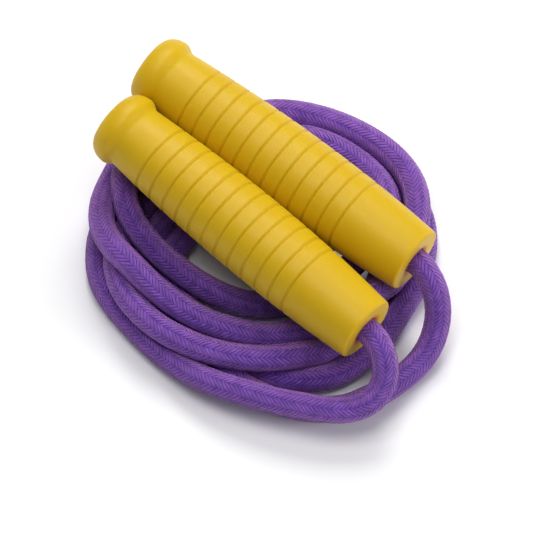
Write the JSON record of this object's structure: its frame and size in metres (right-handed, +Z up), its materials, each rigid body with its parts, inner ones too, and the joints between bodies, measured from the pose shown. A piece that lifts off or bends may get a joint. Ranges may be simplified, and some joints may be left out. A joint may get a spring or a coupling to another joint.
{
  "type": "jump rope",
  "caption": "Coiled jump rope: ribbed yellow plastic handles lying side by side on a round coil of purple braided cord.",
  "frame": {"origin": "on the flat underside of the coiled rope, 44 mm from the coil's centre towards the front handle's side", "axes": "+Z up; +X along the front handle seen from above, from its open butt to its rope end; +Y from the front handle towards the rear one"},
  "size_m": [0.1555, 0.132, 0.0573],
  "materials": {
    "yellow_plastic": "satin moulded",
    "purple_braid": "tightly braided",
    "plated_steel": "zinc plated"
  },
  "bodies": {
    "rope": {"rope_coil": "purple_braid", "rope_run_a": "purple_braid", "rope_run_b": "purple_braid", "ferrule_a": "plated_steel", "ferrule_b": "plated_steel", "washer_a": "plated_steel", "washer_b": "plated_steel"},
    "handle_a": {"grip_a": "yellow_plastic"},
    "handle_b": {"grip_b": "yellow_plastic"}
  },
  "joints": [
    {"name": "handle_a_spin", "type": "hinge", "parent": "rope", "child": "handle_a", "pos_m": [0.0577, 0.0382, 0.03216], "axis": [0.9962, -0.0078, -0.0872], "continuous": true},
    {"name": "handle_b_spin", "type": "hinge", "parent": "rope", "child": "handle_b", "pos_m": [0.0512, 0.07353, 0.03033], "axis": [0.9948, 0.053, -0.0872], "continuous": true}
  ]
}
